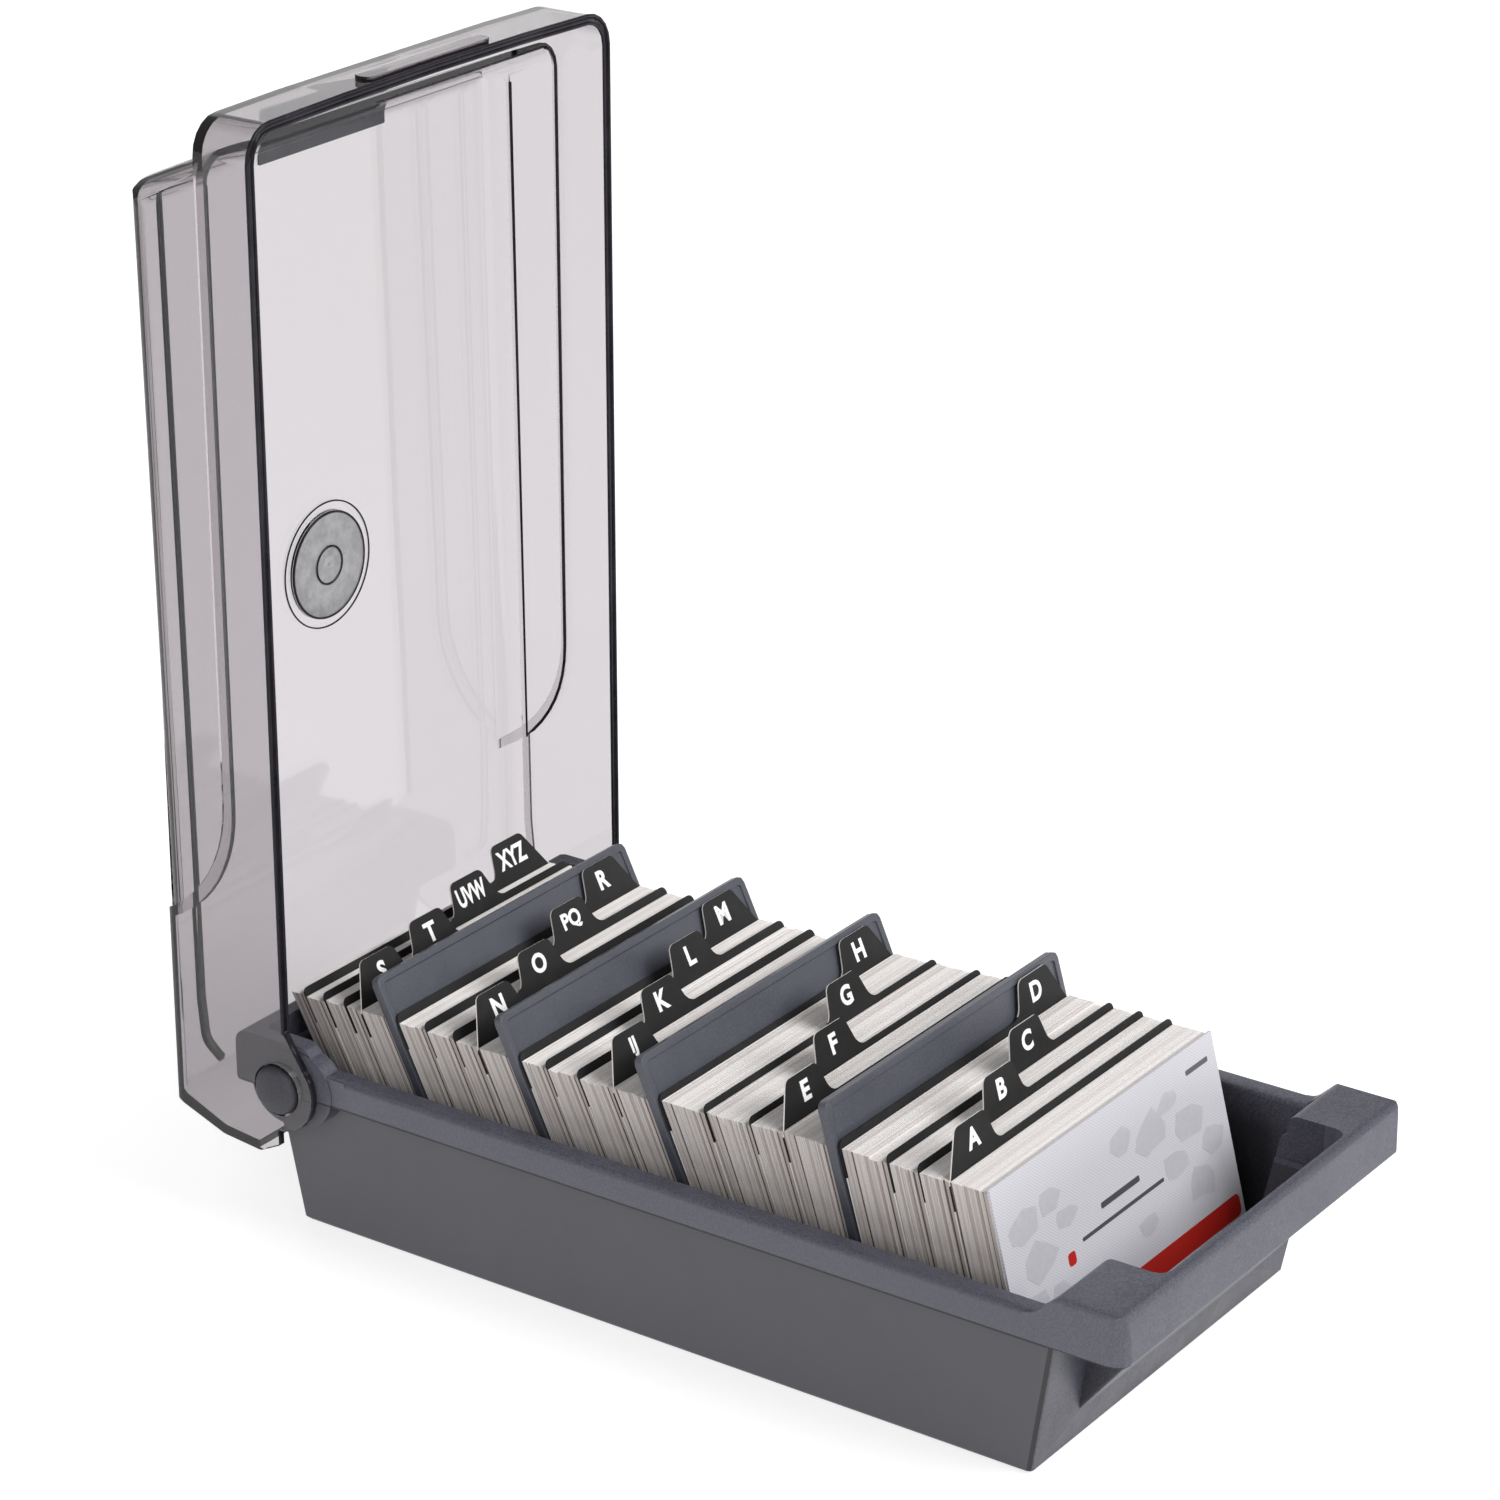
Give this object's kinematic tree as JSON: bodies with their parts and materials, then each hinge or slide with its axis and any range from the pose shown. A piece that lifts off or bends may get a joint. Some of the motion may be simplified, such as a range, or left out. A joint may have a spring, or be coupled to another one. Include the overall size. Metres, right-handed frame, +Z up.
{
  "type": "business card index box",
  "caption": "Desk card box: shallow tapered tray of leaning cards with tabbed index guides, divider plates and a clear hinged lid that swings shut over them.",
  "frame": {"origin": "centre of the flat underside of the tray", "axes": "+X to the right seen from the pull end, +Y from the pull end to the hinge end, +Z up"},
  "size_m": [0.129, 0.2539, 0.2632],
  "materials": {
    "tray_plastic": "fine-textured satin slate grey polystyrene",
    "pin_plastic": "satin slate grey plastic",
    "smoked_lid": "polished smoked transparent polystyrene",
    "divider_plastic": "satin slate grey plastic",
    "guide_board": "dark printed index board with pale cut edges",
    "printed_card": "smooth printed card",
    "card_stock": "uncoated off-white card edges"
  },
  "bodies": {
    "tray": {"tray": "tray_plastic", "hinge_pin_left": "pin_plastic", "hinge_pin_right": "pin_plastic", "front_card": "printed_card", "cards_front_to_A": "card_stock", "cards_A_to_B": "card_stock", "cards_B_to_C": "card_stock", "cards_C_to_D": "card_stock", "cards_D_to_E": "card_stock", "cards_E_to_F": "card_stock", "cards_F_to_G": "card_stock", "cards_G_to_H": "card_stock", "cards_H_to_IJ": "card_stock", "cards_IJ_to_K": "card_stock", "cards_K_to_L": "card_stock", "cards_L_to_M": "card_stock", "cards_M_to_N": "card_stock", "cards_N_to_O": "card_stock", "cards_O_to_PQ": "card_stock", "cards_PQ_to_R": "card_stock", "cards_R_to_S": "card_stock", "cards_S_to_T": "card_stock", "cards_T_to_UVW": "card_stock", "cards_UVW_to_XYZ": "card_stock", "cards_rear": "card_stock"},
    "lid": {"lid": "smoked_lid"},
    "guide_A": {"guide_A": "guide_board"},
    "guide_B": {"guide_B": "guide_board"},
    "guide_C": {"guide_C": "guide_board"},
    "guide_D": {"guide_D": "guide_board"},
    "divider_1": {"divider_1": "divider_plastic"},
    "guide_E": {"guide_E": "guide_board"},
    "guide_F": {"guide_F": "guide_board"},
    "guide_G": {"guide_G": "guide_board"},
    "guide_H": {"guide_H": "guide_board"},
    "divider_2": {"divider_2": "divider_plastic"},
    "guide_IJ": {"guide_IJ": "guide_board"},
    "guide_K": {"guide_K": "guide_board"},
    "guide_L": {"guide_L": "guide_board"},
    "guide_M": {"guide_M": "guide_board"},
    "divider_3": {"divider_3": "divider_plastic"},
    "guide_N": {"guide_N": "guide_board"},
    "guide_O": {"guide_O": "guide_board"},
    "guide_PQ": {"guide_PQ": "guide_board"},
    "guide_R": {"guide_R": "guide_board"},
    "divider_4": {"divider_4": "divider_plastic"},
    "guide_S": {"guide_S": "guide_board"},
    "guide_T": {"guide_T": "guide_board"},
    "guide_UVW": {"guide_UVW": "guide_board"},
    "guide_XYZ": {"guide_XYZ": "guide_board"}
  },
  "joints": [
    {"name": "lid_hinge", "type": "hinge", "parent": "tray", "child": "lid", "pos_m": [0, 0.097, 0.0376], "axis": [-1, 0, 0], "range_deg": [-90, 0]},
    {"name": "guide_A_lift", "type": "slide", "parent": "tray", "child": "guide_A", "axis": [0, 0.2555, 0.9668], "range_m": [0, 0.062]},
    {"name": "guide_B_lift", "type": "slide", "parent": "tray", "child": "guide_B", "axis": [0, 0.2622, 0.965], "range_m": [0, 0.062]},
    {"name": "guide_C_lift", "type": "slide", "parent": "tray", "child": "guide_C", "axis": [0, 0.2689, 0.9632], "range_m": [0, 0.062]},
    {"name": "guide_D_lift", "type": "slide", "parent": "tray", "child": "guide_D", "axis": [0, 0.2756, 0.9613], "range_m": [0, 0.062]},
    {"name": "divider_1_lift", "type": "slide", "parent": "tray", "child": "divider_1", "axis": [0, 0.279, 0.9603], "range_m": [0, 0.066]},
    {"name": "guide_E_lift", "type": "slide", "parent": "tray", "child": "guide_E", "axis": [0, 0.319, 0.9478], "range_m": [0, 0.062]},
    {"name": "guide_F_lift", "type": "slide", "parent": "tray", "child": "guide_F", "axis": [0, 0.3453, 0.9385], "range_m": [0, 0.062]},
    {"name": "guide_G_lift", "type": "slide", "parent": "tray", "child": "guide_G", "axis": [0, 0.3746, 0.9272], "range_m": [0, 0.062]},
    {"name": "guide_H_lift", "type": "slide", "parent": "tray", "child": "guide_H", "axis": [0, 0.4067, 0.9135], "range_m": [0, 0.062]},
    {"name": "divider_2_lift", "type": "slide", "parent": "tray", "child": "divider_2", "axis": [0, 0.4099, 0.9121], "range_m": [0, 0.066]},
    {"name": "guide_IJ_lift", "type": "slide", "parent": "tray", "child": "guide_IJ", "axis": [0, 0.4258, 0.9048], "range_m": [0, 0.062]},
    {"name": "guide_K_lift", "type": "slide", "parent": "tray", "child": "guide_K", "axis": [0, 0.4289, 0.9033], "range_m": [0, 0.062]},
    {"name": "guide_L_lift", "type": "slide", "parent": "tray", "child": "guide_L", "axis": [0, 0.4321, 0.9018], "range_m": [0, 0.062]},
    {"name": "guide_M_lift", "type": "slide", "parent": "tray", "child": "guide_M", "axis": [0, 0.4352, 0.9003], "range_m": [0, 0.062]},
    {"name": "divider_3_lift", "type": "slide", "parent": "tray", "child": "divider_3", "axis": [0, 0.4384, 0.8988], "range_m": [0, 0.066]},
    {"name": "guide_N_lift", "type": "slide", "parent": "tray", "child": "guide_N", "axis": [0, 0.4384, 0.8988], "range_m": [0, 0.062]},
    {"name": "guide_O_lift", "type": "slide", "parent": "tray", "child": "guide_O", "axis": [0, 0.4384, 0.8988], "range_m": [0, 0.062]},
    {"name": "guide_PQ_lift", "type": "slide", "parent": "tray", "child": "guide_PQ", "axis": [0, 0.4384, 0.8988], "range_m": [0, 0.062]},
    {"name": "guide_R_lift", "type": "slide", "parent": "tray", "child": "guide_R", "axis": [0, 0.4415, 0.8973], "range_m": [0, 0.062]},
    {"name": "divider_4_lift", "type": "slide", "parent": "tray", "child": "divider_4", "axis": [0, 0.4446, 0.8957], "range_m": [0, 0.066]},
    {"name": "guide_S_lift", "type": "slide", "parent": "tray", "child": "guide_S", "axis": [0, 0.4478, 0.8942], "range_m": [0, 0.062]},
    {"name": "guide_T_lift", "type": "slide", "parent": "tray", "child": "guide_T", "axis": [0, 0.454, 0.891], "range_m": [0, 0.062]},
    {"name": "guide_UVW_lift", "type": "slide", "parent": "tray", "child": "guide_UVW", "axis": [0, 0.4633, 0.8862], "range_m": [0, 0.051]},
    {"name": "guide_XYZ_lift", "type": "slide", "parent": "tray", "child": "guide_XYZ", "axis": [0, 0.4726, 0.8813], "range_m": [0, 0.038]}
  ]
}
